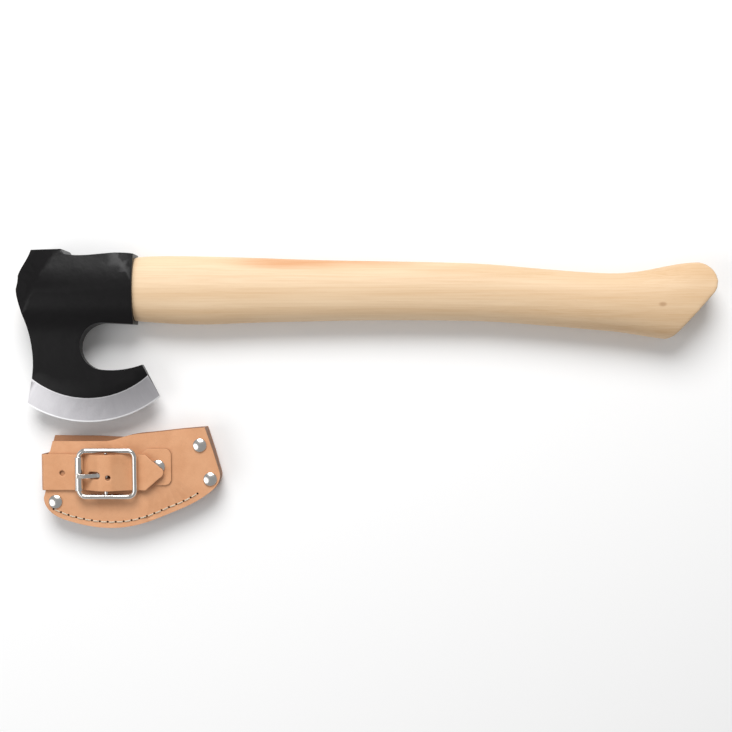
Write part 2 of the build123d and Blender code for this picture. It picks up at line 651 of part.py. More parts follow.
rivet_set(corner_rivets, lambda y: deck(y) + cap_off, lambda y: under(y) - washer_off, 1,
          "corner_caps", "corner_posts")
rivet_set([tab_rivet], lambda y: deck(y) + tab_t + glue + cap_off, lambda y: deck(y) - panel_t - washer_off, 1,
          "tab_rivet_cap", "tab_rivet_post")
rivet_set([strap_rivet], lambda y: under(y) - strap_t - glue - cap_off, lambda y: under(y) + panel_t + washer_off, -1,
          "strap_rivet_cap", "strap_rivet_post")

# two threads locked in the middle: one lies on the front, one on the back
for side, name in ((1, "thread_front"), (-1, "thread_back")):
    with BuildPart() as thread:
        for i, p in enumerate(stitches):
            if i + 1 < len(stitches):
                q = stitches[i + 1]
                a = Vector(p.X, p.Y, cover_z + side * (gap(p.Y) + panel_t + thread_d / 2 + glue))
                b = Vector(q.X, q.Y, cover_z + side * (gap(q.Y) + panel_t + thread_d / 2 + glue))
                with BuildSketch(Plane(origin=a, z_dir=b - a)):
                    Circle(thread_d / 2)
                extrude(amount=(b - a).length)
            z0 = cover_z + side * glue
            z1 = cover_z + side * (gap(p.Y) + panel_t + thread_d / 2 + glue)
            with BuildSketch(Plane(origin=(p.X, p.Y, z0), x_dir=(1, 0, 0), z_dir=(0, 0, side))):
                Circle(thread_d / 2)
            extrude(amount=abs(z1 - z0))
            with Locations((p.X, p.Y, z1)):
                Sphere(thread_d / 2)
    thread.part.label = name
    export_step(thread.part, f"parts/{name}.step")
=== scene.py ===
"""Looks for the forestry hatchet and its leather blade cover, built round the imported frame."""

import logging
import math
from dataclasses import dataclass, field
from enum import Enum

import bmesh
import bpy
from mathutils import Matrix, Vector


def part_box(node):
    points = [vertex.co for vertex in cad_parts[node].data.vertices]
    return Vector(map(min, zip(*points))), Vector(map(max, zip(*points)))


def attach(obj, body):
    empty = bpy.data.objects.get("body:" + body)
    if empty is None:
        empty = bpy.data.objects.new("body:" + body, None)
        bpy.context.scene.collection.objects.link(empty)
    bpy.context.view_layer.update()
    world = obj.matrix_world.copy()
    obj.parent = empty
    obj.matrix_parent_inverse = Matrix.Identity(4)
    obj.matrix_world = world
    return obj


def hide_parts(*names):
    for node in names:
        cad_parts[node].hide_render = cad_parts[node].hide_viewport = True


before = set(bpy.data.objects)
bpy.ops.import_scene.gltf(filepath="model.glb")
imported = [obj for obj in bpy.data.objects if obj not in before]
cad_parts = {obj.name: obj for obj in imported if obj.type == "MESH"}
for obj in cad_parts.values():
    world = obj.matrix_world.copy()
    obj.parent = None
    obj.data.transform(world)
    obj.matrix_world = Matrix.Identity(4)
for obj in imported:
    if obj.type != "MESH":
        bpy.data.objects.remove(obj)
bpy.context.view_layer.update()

logging.basicConfig(level=logging.INFO, format="%(message)s")
log = logging.getLogger("hatchet")

MM = 0.001
SHARP_DEG = 32.0     # a machined piece keeps an edge where its faces turn more than this
Rgb = tuple[float, float, float]


class Body(str, Enum):
    """Moving bodies of the frame."""

    HATCHET = "hatchet"
    COVER = "cover"
    BUCKLE = "buckle"
    ROLLER = "roller"
    TONGUE = "tongue"


class Slot(str, Enum):
    """Material slots of the record."""

    BLACK_STEEL = "black_steel"
    BIRCH = "birch"
    WEDGE_WOOD = "wedge_wood"
    BARE_STEEL = "bare_steel"
    LEATHER = "natural_leather"
    WELT = "welt_leather"
    NICKEL = "nickel"
    THREAD = "cream_thread"


# ---------------------------------------------------------------- finishes
@dataclass(frozen=True)
class ForgedSteel:
    """Painted forging with a bare ground bevel beyond a radius from the edge's centre."""

    paint: Rgb = (0.0042, 0.0038, 0.0042)
    paint_rough: float = 0.33
    steel: Rgb = (0.80, 0.785, 0.81)
    steel_rough: float = 0.42
    centre: tuple[float, float] = (-0.195, 0.057)
    bevel_radius: float = 0.0632
    edge_radius: float = 0.080


@dataclass(frozen=True)
class Birch:
    """Oiled pale wood with its grain along X."""

    pale: Rgb = (0.80, 0.60, 0.395)
    dark: Rgb = (0.62, 0.39, 0.20)
    streak: Rgb = (0.62, 0.27, 0.11)
    rough: float = 0.46
    knot: tuple[float, float] = (0.205, 0.059)
    knot_size: tuple[float, float] = (0.0022, 0.0006)     # where it starts and where it is full


@dataclass(frozen=True)
class Leather:
    """Undyed leather, darker and fibrous where it is cut."""

    face: Rgb = (0.74, 0.385, 0.205)
    tone: Rgb = (0.62, 0.285, 0.135)
    cut: Rgb = (0.20, 0.085, 0.038)
    rough: float = 0.52
    cut_from: float = 0.55
    flesh_side: float = 0.0      # +1 if the rough inner side faces up, -1 if it faces down, 0 if hidden


@dataclass(frozen=True)
class Metal:
    """Plated or bare metal."""

    colour: Rgb = (0.76, 0.74, 0.71)
    rough: float = 0.17


@dataclass(frozen=True)
class Thread:
    """Waxed twisted thread."""

    colour: Rgb = (0.86, 0.76, 0.60)
    rough: float = 0.6


class Shader:
    """Small helper that wires up one material's node tree."""

    def __init__(self, name: str) -> None:
        self.material = bpy.data.materials.new(name)
        self.material.use_nodes = True
        self.tree = self.material.node_tree
        self.bsdf = self.tree.nodes["Principled BSDF"]
        self.coords = self.node("ShaderNodeTexCoord")

    def node(self, kind: str, **values: object) -> bpy.types.Node:
        """Add a node.

        Args:
            kind: the node's type.
            values: attributes to set on it.

        Returns:
            The new node.
        """
        made = self.tree.nodes.new(kind)
        for key, value in values.items():
            setattr(made, key, value)
        return made

    def link(self, source: bpy.types.NodeSocket, target: bpy.types.NodeSocket) -> None:
        """Join two sockets."""
        self.tree.links.new(source, target)

    def math(self, operation: str, *inputs: object) -> bpy.types.NodeSocket:
        """Return the output of a math node; inputs are sockets or numbers."""
        made = self.node("ShaderNodeMath", operation=operation)
        for i, value in enumerate(inputs):
            if isinstance(value, bpy.types.NodeSocket):
                self.link(value, made.inputs[i])
            else:
                made.inputs[i].default_value = value
        return made.outputs[0]

    def scaled(self, scale: tuple[float, float, float]) -> bpy.types.NodeSocket:
        """Object coordinates stretched by scale, so one unit is one metre times scale."""
        mapping = self.node("ShaderNodeMapping")
        mapping.inputs["Scale"].default_value = scale
        self.link(self.coords.outputs["Object"], mapping.inputs["Vector"])
        return mapping.outputs[0]

    def noise(self, vector: bpy.types.NodeSocket, detail: float = 3.0, rough: float = 0.55,
              distortion: float = 0.0) -> bpy.types.NodeSocket:
        """Return a noise value over vector."""
        made = self.node("ShaderNodeTexNoise")
        made.inputs["Scale"].default_value = 1.0
        made.inputs["Detail"].default_value = detail
        made.inputs["Roughness"].default_value = rough
        made.inputs["Distortion"].default_value = distortion
        self.link(vector, made.inputs["Vector"])
        return made.outputs[0]

    def ramp(self, value: bpy.types.NodeSocket, low: float, high: float) -> bpy.types.NodeSocket:
        """Return value mapped smoothly so that low gives 0 and high gives 1."""
        made = self.node("ShaderNodeMapRange", interpolation_type="SMOOTHSTEP")
        made.inputs["From Min"].default_value = low
        made.inputs["From Max"].default_value = high
        self.link(value, made.inputs["Value"])
        return made.outputs[0]

    def spread(self, value: bpy.types.NodeSocket, low: float, high: float) -> bpy.types.NodeSocket:
        """Return a 0..1 value spread over low..high."""
        made = self.node("ShaderNodeMapRange")
        made.inputs["To Min"].default_value = low
        made.inputs["To Max"].default_value = high
        self.link(value, made.inputs["Value"])
        return made.outputs[0]

    def mix(self, factor: object, a: object, b: object) -> bpy.types.NodeSocket:
        """Return the colour between a and b; each is a socket or an RGB triple."""
        made = self.node("ShaderNodeMix", data_type="RGBA")
        for socket, value in ((made.inputs[0], factor), (made.inputs[6], a), (made.inputs[7], b)):
            if isinstance(value, bpy.types.NodeSocket):
                self.link(value, socket)
            elif isinstance(value, (int, float)):
                socket.default_value = value
            else:
                socket.default_value = (*value, 1.0)
        return made.outputs[2]

    def bump(self, height: bpy.types.NodeSocket, distance: float, strength: float = 1.0,
             normal: bpy.types.NodeSocket | None = None) -> bpy.types.NodeSocket:
        """Return a normal bumped by height over distance metres."""
        made = self.node("ShaderNodeBump")
        made.inputs["Strength"].default_value = strength
        made.inputs["Distance"].default_value = distance
        self.link(height, made.inputs["Height"])
        if normal is not None:
            self.link(normal, made.inputs["Normal"])
        return made.outputs[0]

    def axes(self) -> bpy.types.Node:
        """Return a node giving the object coordinates one by one."""
        made = self.node("ShaderNodeSeparateXYZ")
        self.link(self.coords.outputs["Object"], made.inputs[0])
        return made


def steel_material(name: str, finish: ForgedSteel) -> bpy.types.Material:
    """Black paint over forged steel, with bare ground steel next to the cutting edge and a painted highlight
    along that edge.

    Args:
        name: the material's name.
        finish: colours and radii.

    Returns:
        The material.
    """
    s = Shader(name)
    xyz = s.axes()
    dx = s.math("SUBTRACT", xyz.outputs[0], finish.centre[0])
    dy = s.math("SUBTRACT", xyz.outputs[1], finish.centre[1])
    radius = s.math("SQRT", s.math("ADD", s.math("MULTIPLY", dx, dx), s.math("MULTIPLY", dy, dy)))
    angle = s.math("ARCTAN2", dx, s.math("MULTIPLY", dy, -1.0))
    ragged = s.noise(s.scaled((420, 420, 420)), 2.0)
    wobble = s.math("ADD", radius, s.spread(ragged, -0.00018, 0.00018))
    front = s.ramp(angle, -0.86, -0.84)
    ground = s.ramp(wobble, finish.bevel_radius - 0.0001, finish.bevel_radius + 0.0002)
    bare = s.math("MULTIPLY", ground, front)
    normal = s.node("ShaderNodeSeparateXYZ")
    s.link(s.coords.outputs["Normal"], normal.inputs[0])
    bare = s.math("MULTIPLY", bare, s.ramp(s.math("ABSOLUTE", normal.outputs[2]), 0.55, 0.75))
    # grinding marks run from the paint to the edge
    polar = s.node("ShaderNodeCombineXYZ")
    s.link(s.math("MULTIPLY", angle, 210.0), polar.inputs[0])
    s.link(s.math("MULTIPLY", radius, 60.0), polar.inputs[1])
    marks = s.noise(polar.outputs[0], 4.0, 0.7)
    broad = s.node("ShaderNodeCombineXYZ")
    s.link(s.math("MULTIPLY", angle, 9.0), broad.inputs[0])
    s.link(s.math("MULTIPLY", radius, 26.0), broad.inputs[1])
    cloud = s.noise(broad.outputs[0], 2.0)
    # the bare steel is made darker and greyer towards the toe, in cloudy patches
    toe = s.ramp(angle, -0.60, 0.15)
    tint = s.mix(s.spread(marks, 0.25, 0.8), (0.50, 0.49, 0.51), finish.steel)
    darker_toe = s.mix(0.35, tint, (0.30, 0.29, 0.32))
    tint = s.mix(s.math("MULTIPLY", toe, s.spread(cloud, 0.4, 0.95)), tint, darker_toe)
    # painted highlight: near-white along the cutting edge, and fainter along the bevel's shoulder next to the
    # paint
    keen = s.ramp(radius, finish.edge_radius - 0.0013, finish.edge_radius - 0.0006)
    shoulder = s.ramp(radius, finish.bevel_radius + 0.0010, finish.bevel_radius + 0.0002)
    glint = s.math("ADD", keen, s.math("MULTIPLY", shoulder, 0.6))
    tint = s.mix(s.math("MINIMUM", glint, 1.0), tint, (0.95, 0.95, 0.96))
    # scuffs through the paint gloss
    scratch = s.noise(s.scaled((900, 90, 300)), 5.0, 0.75, 0.6)
    scuff = s.ramp(scratch, 0.66, 0.74)
    paint = s.mix(s.math("MULTIPLY", scuff, 0.10), finish.paint, (0.14, 0.135, 0.13))
    s.link(s.mix(bare, paint, tint), s.bsdf.inputs["Base Color"])
    s.link(bare, s.bsdf.inputs["Metallic"])
    s.bsdf.inputs["Specular IOR Level"].default_value = 0.20
    skin = s.noise(s.scaled((260, 260, 260)), 4.0, 0.6)
    paint_rough = s.spread(skin, finish.paint_rough - 0.05, finish.paint_rough + 0.10)
    steel_rough = s.spread(marks, finish.steel_rough - 0.08, finish.steel_rough + 0.12)
    rough = s.node("ShaderNodeMix", data_type="FLOAT")
    s.link(bare, rough.inputs[0])
    s.link(paint_rough, rough.inputs[2])
    s.link(steel_rough, rough.inputs[3])
    s.link(rough.outputs[0], s.bsdf.inputs["Roughness"])
    forged = s.noise(s.scaled((90, 90, 90)), 3.0)
    orange = s.noise(s.scaled((1500, 1500, 1500)), 2.0)
    first = s.bump(forged, 0.0006, 0.35)
    second = s.bump(orange, 0.00004, 0.6, first)
    grooves = s.math("MULTIPLY", marks, bare)
    s.link(s.bump(grooves, 0.00003, 0.7, second), s.bsdf.inputs["Normal"])
    return s.material


def birch_material(name: str, finish: Birch, seed: float = 0.0) -> bpy.types.Material:
    """Pale wood: long fibres, faint cathedral figure, a warm streak and a small knot."""
    s = Shader(name)
    xyz = s.axes()
    x, y = xyz.outputs[0], xyz.outputs[1]
    fibre = s.noise(s.scaled((14 + seed, 900, 900)), 5.0, 0.65)
    pores = s.noise(s.scaled((60, 2600, 2600)), 2.0, 0.6)
    figure = s.node("ShaderNodeTexWave", wave_type="RINGS", rings_direction="X")
    figure.inputs["Scale"].default_value = 1.0
    figure.inputs["Distortion"].default_value = 3.2
    figure.inputs["Detail"].default_value = 2.0
    figure.inputs["Detail Scale"].default_value = 0.6
    s.link(s.scaled((1.6, 26, 34)), figure.inputs["Vector"])
    wide = s.noise(s.scaled((5, 40, 40)), 2.0)
    tone = s.math("ADD", s.math("MULTIPLY", s.ramp(fibre, 0.35, 0.75), 0.34),
                  s.math("MULTIPLY", figure.outputs["Fac"], 0.20))
    tone = s.math("ADD", tone, s.math("MULTIPLY", s.ramp(wide, 0.4, 0.75), 0.24))
    far = s.ramp(x, 0.02, 0.25)
    tone = s.math("ADD", tone, s.math("MULTIPLY", far, 0.28))
    wood = s.mix(s.math("MINIMUM", tone, 1.0), finish.pale, finish.dark)
    # warm streak along the poll side
    wander = s.math("ADD", y, s.spread(s.noise(s.scaled((14, 30, 30)), 2.0), -0.004, 0.004))
    band = s.math("MULTIPLY", s.ramp(wander, 0.0825, 0.0895), s.math("MULTIPLY", s.ramp(x, -0.11, -0.06),
                  s.ramp(x, 0.055, 0.0)))
    wood = s.mix(s.math("MULTIPLY", band, s.spread(fibre, 0.35, 0.95)), wood, finish.streak)
    # knot
    kx, ky = s.math("SUBTRACT", x, finish.knot[0]), s.math("SUBTRACT", y, finish.knot[1])
    knot_r = s.math("SQRT", s.math("ADD", s.math("MULTIPLY", s.math("MULTIPLY", kx, kx), 0.35),
                                   s.math("MULTIPLY", ky, ky)))
    wood = s.mix(s.math("MULTIPLY", s.ramp(knot_r, *finish.knot_size), 0.45), wood, (0.30, 0.13, 0.05))
    wood = s.mix(s.math("MULTIPLY", s.ramp(pores, 0.62, 0.75), 0.18), wood, (0.42, 0.25, 0.12))
    s.link(wood, s.bsdf.inputs["Base Color"])
    s.link(s.spread(fibre, finish.rough - 0.06, finish.rough + 0.10), s.bsdf.inputs["Roughness"])
    s.bsdf.inputs["Specular IOR Level"].default_value = 0.38
    first = s.bump(fibre, 0.00006, 0.5)
    s.link(s.bump(pores, 0.00003, 0.5, first), s.bsdf.inputs["Normal"])
    return s.material


def leather_material(name: str, finish: Leather) -> bpy.types.Material:
    """Smooth grain on the faces, dark loose fibres on the cut edges."""
    s = Shader(name)
    normal = s.node("ShaderNodeSeparateXYZ")
    s.link(s.coords.outputs["Normal"], normal.inputs[0])
    upright = s.math("ABSOLUTE", normal.outputs[2])
    fuzz = s.noise(s.scaled((1800, 1800, 5200)), 3.0, 0.7)
    frayed = s.math("ADD", upright, s.spread(fuzz, -0.10, 0.10))
    cut = s.ramp(frayed, finish.cut_from + 0.22, finish.cut_from - 0.05)
    if finish.flesh_side:
        inner = s.ramp(s.math("MULTIPLY", normal.outputs[2], finish.flesh_side), 0.5, 0.7)
        cut = s.math("MAXIMUM", cut, s.math("MULTIPLY", inner, 0.8))
    mottle = s.noise(s.scaled((70, 70, 70)), 4.0, 0.6)
    cloud = s.noise(s.scaled((16, 22, 20)), 2.0)
    face = s.mix(s.math("MULTIPLY", s.ramp(mottle, 0.38, 0.72), 0.45), finish.face, finish.tone)
    face = s.mix(s.math("MULTIPLY", s.ramp(cloud, 0.45, 0.75), 0.30), face, finish.tone)
    cells = s.node("ShaderNodeTexVoronoi", feature="DISTANCE_TO_EDGE")
    cells.inputs["Scale"].default_value = 1.0
    cells.inputs["Randomness"].default_value = 1.0
    s.link(s.scaled((1150, 1150, 1150)), cells.inputs["Vector"])
    pore = s.ramp(cells.outputs["Distance"], 0.0, 0.12)
    face = s.mix(s.math("MULTIPLY", s.math("SUBTRACT", 1.0, pore), 0.12), face, finish.cut)
    strand = s.mix(s.spread(fuzz, 0.2, 0.9), finish.cut, finish.tone)
    s.link(s.mix(cut, face, s.mix(0.55, finish.cut, strand)), s.bsdf.inputs["Base Color"])
    s.link(s.spread(mottle, finish.rough - 0.07, finish.rough + 0.12), s.bsdf.inputs["Roughness"])
    s.bsdf.inputs["Specular IOR Level"].default_value = 0.35
    first = s.bump(pore, 0.00006, 0.55)
    second = s.bump(mottle, 0.0003, 0.30, first)
    third = s.bump(s.math("MULTIPLY", fuzz, cut), 0.0003, 0.9, second)
    s.link(third, s.bsdf.inputs["Normal"])
    return s.material


def metal_material(name: str, finish: Metal) -> bpy.types.Material:
    """Metal with faint wear in its gloss."""
    s = Shader(name)
    s.bsdf.inputs["Base Color"].default_value = (*finish.colour, 1.0)
    s.bsdf.inputs["Metallic"].default_value = 1.0
    wear = s.noise(s.scaled((500, 500, 500)), 4.0, 0.7)
    s.link(s.spread(wear, finish.rough - 0.06, finish.rough + 0.10), s.bsdf.inputs["Roughness"])
    s.link(s.bump(wear, 0.00005, 0.25), s.bsdf.inputs["Normal"])
    return s.material


def thread_material(name: str, finish: Thread) -> bpy.types.Material:
    """Thread with a fine slanting twist."""
    s = Shader(name)
    s.bsdf.inputs["Base Color"].default_value = (*finish.colour, 1.0)
    s.bsdf.inputs["Roughness"].default_value = finish.rough
    twist = s.node("ShaderNodeTexWave")
    twist.inputs["Scale"].default_value = 1.0
    twist.inputs["Distortion"].default_value = 0.6
    s.link(s.scaled((900, 700, 900)), twist.inputs["Vector"])
    s.link(s.bump(twist.outputs["Fac"], 0.00015, 0.8), s.bsdf.inputs["Normal"])
    return s.material


# ---------------------------------------------------------------- shapes
def cad_copy(node: str, name: str) -> bpy.types.Object:
    """Copy a CAD node's mesh into a new object at the origin.

    Args:
        node: the CAD node to copy.
        name: the new object's name.

    Returns:
        The new object, with its doubled corners merged.
    """
    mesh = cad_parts[node].data.copy()
    mesh.name = name
    mesh.materials.clear()
    work = bmesh.new()
    work.from_mesh(mesh)
    bmesh.ops.remove_doubles(work, verts=work.verts, dist=1e-6)
    work.to_mesh(mesh)
    work.free()
    if mesh.has_custom_normals:
        mesh.normals_split_custom_set([(0.0, 0.0, 0.0)] * len(mesh.loops))
    made = bpy.data.objects.new(name, mesh)
    bpy.context.scene.collection.objects.link(made)
    return made


def bake(obj: bpy.types.Object) -> bpy.types.Object:
    """Turn an object's modifiers into a plain mesh."""
    graph = bpy.context.evaluated_depsgraph_get()
    graph.update()
    mesh = bpy.data.meshes.new_from_object(obj.evaluated_get(graph), depsgraph=graph)
    obj.modifiers.clear()
    obj.data = mesh
    return obj


def rounded(obj: bpy.types.Object, voxel: float, passes: int) -> bpy.types.Object:
    """Remesh an object evenly and ease its edges.

    Args:
        obj: the object to change.
        voxel: size of the new faces, metres.
        passes: smoothing passes; more give rounder edges.

    Returns:
        The same object with a plain smooth mesh.
    """
    remesh = obj.modifiers.new("even", "REMESH")
    remesh.mode = "VOXEL"
    remesh.voxel_size = voxel
    ease = obj.modifiers.new("ease", "SMOOTH")
    ease.factor = 0.5
    ease.iterations = passes
    bake(obj)
    obj.data.shade_smooth()
    return obj


def sharp(obj: bpy.types.Object, angle: float, bevel: float) -> bpy.types.Object:
    """Round the sharp corners of a machined piece and shade it by angle."""
    obj.data.shade_smooth()
    obj.data.set_sharp_from_angle(angle=math.radians(angle))
    if bevel > 0:
        cut = obj.modifiers.new("round", "BEVEL")
        cut.width = bevel
        cut.segments = 3
        cut.limit_method = "ANGLE"
        cut.angle_limit = math.radians(angle)
        cut.harden_normals = True
        bake(obj)
    return obj


@dataclass
class Piece:
    """One shown piece made from a CAD node."""

    node: str
    body: Body
    slot: Slot
    material: bpy.types.Material
    voxel: float = 0.0
    passes: int = 0
    bevel: float = 0.0

    def build(self) -> bpy.types.Object:
        """Make the piece, fix it to its body and hide the CAD node it stands for."""
        obj = cad_copy(self.node, f"{self.node}_look")
        if self.voxel:
            rounded(obj, self.voxel, self.passes)
        else:
            sharp(obj, SHARP_DEG, self.bevel)
        obj.data.materials.clear()
        obj.data.materials.append(self.material)
        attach(obj, self.body.value)
        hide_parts(self.node)
        log.info("%s: %d faces on %s", self.node, len(obj.data.polygons), self.body.value)
        return obj


@dataclass
class SeamStitches:
    """Stitches along the curved lower edge, one side of the cover at a time."""

    material: bpy.types.Material
    pitch: float = 5.6 * MM
    thread: float = 0.95 * MM
    panel: float = 2.5 * MM       # thickness of the leather
    seam_y: float = -90.0 * MM    # below this the panels lie level
    seam: tuple[tuple[float, float], ...] = (
        (-219.4, -84.2), (-207.0, -89.0), (-193.0, -92.1), (-179.3, -93.3), (-165.6, -92.2),
        (-152.2, -88.5), (-138.8, -83.0), (-125.0, -77.0), (-114.0, -70.2))

    def stitch(self) -> bpy.types.Object:
        """Make one stitch along X: two strands twisted round each other, ends sunk in the leather."""
        mesh = bpy.data.meshes.new("stitch_source")
        work = bmesh.new()
        length, strand, steps = self.pitch * 0.78, self.thread * 0.27, 28
        for phase in (0.0, math.pi):
            rings = []
            for i in range(steps + 1):
                t = i / steps
                turn = phase + t * 3.2 * math.pi
                lift = self.thread * (0.40 - 1.25 * (2 * t - 1) ** 8)
                centre = Vector(((t - 0.5) * length, strand * math.cos(turn), lift + strand * math.sin(turn)))
                rings.append([work.verts.new(centre + Vector((0, strand * math.cos(a), strand * math.sin(a))))
                              for a in (k * math.tau / 8 for k in range(8))])
            for a, b in zip(rings, rings[1:]):
                for k in range(8):
                    work.faces.new((a[k], b[k], b[(k + 1) % 8], a[(k + 1) % 8]))
            work.faces.new(rings[0])
            work.faces.new(list(reversed(rings[-1])))
        bmesh.ops.recalc_face_normals(work, faces=work.faces)
        work.to_mesh(mesh)
        work.free()
        mesh.shade_smooth()
        source = bpy.data.objects.new("stitch_source", mesh)
        return source

    def node_group(self, source: bpy.types.Object) -> bpy.types.NodeTree:
        """Geometry nodes: space points along the seam, put a stitch between each pair of holes."""
        group = bpy.data.node_groups.new("stitches", "GeometryNodeTree")
        face = group.interface
        face.new_socket("Geometry", in_out="INPUT", socket_type="NodeSocketGeometry")
        pitch = face.new_socket("Pitch", in_out="INPUT", socket_type="NodeSocketFloat")
        seed = face.new_socket("Seed", in_out="INPUT", socket_type="NodeSocketInt")
        face.new_socket("Geometry", in_out="OUTPUT", socket_type="NodeSocketGeometry")
        self.pitch_id, self.seed_id = pitch.identifier, seed.identifier
        nodes, links = group.nodes, group.links
        inside = nodes.new("NodeGroupInput")
        outside = nodes.new("NodeGroupOutput")
        # half a pitch off both ends, so that each stitch sits between two holes
        half = nodes.new("ShaderNodeMath")
        half.operation = "MULTIPLY"
        half.inputs[1].default_value = 0.5
        links.new(inside.outputs["Pitch"], half.inputs[0])
        full = nodes.new("GeometryNodeCurveLength")
        links.new(inside.outputs["Geometry"], full.inputs[0])
        share, whole, run, last = (nodes.new("ShaderNodeMath") for _ in range(4))
        share.operation, whole.operation = "DIVIDE", "FLOOR"
        run.operation, last.operation = "MULTIPLY", "SUBTRACT"
        links.new(full.outputs[0], share.inputs[0])
        links.new(inside.outputs["Pitch"], share.inputs[1])
        links.new(share.outputs[0], whole.inputs[0])
        links.new(whole.outputs[0], run.inputs[0])
        links.new(inside.outputs["Pitch"], run.inputs[1])
        links.new(run.outputs[0], last.inputs[0])
        links.new(half.outputs[0], last.inputs[1])
        trim = nodes.new("GeometryNodeTrimCurve")
        trim.mode = "LENGTH"
        links.new(inside.outputs["Geometry"], trim.inputs["Curve"])
        links.new(half.outputs[0], trim.inputs[4])
        links.new(last.outputs[0], trim.inputs[5])
        points = nodes.new("GeometryNodeCurveToPoints")
        points.mode = "COUNT"
        links.new(trim.outputs[0], points.inputs["Curve"])
        links.new(whole.outputs[0], points.inputs["Count"])
        info = nodes.new("GeometryNodeObjectInfo")
        info.inputs["Object"].default_value = source
        wiggle = nodes.new("FunctionNodeRandomValue")
        wiggle.data_type = "FLOAT_VECTOR"
        wiggle.inputs[0].default_value = (-0.03, -0.02, -0.05)
        wiggle.inputs[1].default_value = (0.03, 0.02, 0.05)
        links.new(inside.outputs["Seed"], wiggle.inputs["Seed"])
        turn = nodes.new("FunctionNodeAlignRotationToVector")
        turn.axis = "X"
        links.new(points.outputs["Tangent"], turn.inputs["Vector"])
        spin = nodes.new("FunctionNodeRotateRotation")
        spin.rotation_space = "LOCAL"
        euler = nodes.new("FunctionNodeEulerToRotation")
        links.new(wiggle.outputs[0], euler.inputs[0])
        links.new(turn.outputs[0], spin.inputs[0])
        links.new(euler.outputs[0], spin.inputs[1])
        place = nodes.new("GeometryNodeInstanceOnPoints")
        links.new(points.outputs["Points"], place.inputs["Points"])
        links.new(info.outputs["Geometry"], place.inputs["Instance"])
        links.new(spin.outputs[0], place.inputs["Rotation"])
        real = nodes.new("GeometryNodeRealizeInstances")
        paint = nodes.new("GeometryNodeSetMaterial")
        paint.inputs["Material"].default_value = self.material
        links.new(place.outputs[0], real.inputs[0])
        links.new(real.outputs[0], paint.inputs[0])
        links.new(paint.outputs[0], outside.inputs[0])
        return group

    def build(self, node: str, side: int, seed: int) -> bpy.types.Object:
        """Sew one face of the cover.

        Args:
            node: the CAD thread this stands for.
            side: +1 for the front face, -1 for the back.
            seed: picks the small unevenness of the stitches.

        Returns:
            The stitches as one mesh.
        """
        low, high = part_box(node)
        mid = (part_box("thread_front")[0].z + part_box("thread_back")[1].z) / 2
        panel_low, panel_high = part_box("front_panel")
        rise = (panel_high.z - panel_low.z - self.panel) / (panel_high.y - self.seam_y)
        data = bpy.data.curves.new(f"{node}_seam", "CURVE")
        data.dimensions = "3D"
        spline = data.splines.new("BEZIER")
        spline.bezier_points.add(len(self.seam) - 1)
        spline.resolution_u = 24
        for point, (x, y) in zip(spline.bezier_points, self.seam):
            reach = panel_low.z + self.panel - mid + rise * max(0.0, y * MM - self.seam_y) + 0.1 * MM
            point.co = (x * MM, y * MM, mid + side * reach)
            point.handle_left_type = point.handle_right_type = "AUTO"
        curve = bpy.data.objects.new(f"{node}_seam", data)
        bpy.context.scene.collection.objects.link(curve)
        source = self.stitch()
        if side < 0:
            source.data.transform(Matrix.Scale(-1, 4, (0, 0, 1)))
            source.data.flip_normals()
        sew = curve.modifiers.new("sew", "NODES")
        sew.node_group = self.node_group(source)
        sew[self.pitch_id] = self.pitch
        sew[self.seed_id] = seed
        graph = bpy.context.evaluated_depsgraph_get()
        graph.update()
        mesh = bpy.data.meshes.new_from_object(curve.evaluated_get(graph), depsgraph=graph)
        obj = bpy.data.objects.new(f"{node}_look", mesh)
        bpy.context.scene.collection.objects.link(obj)
        bpy.data.objects.remove(curve)
        bpy.data.objects.remove(source)
        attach(obj, Body.COVER.value)
        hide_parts(node)
        log.info("%s: %d faces from %.1f to %.1f mm", node, len(mesh.polygons), low.x / MM, high.x / MM)
        return obj


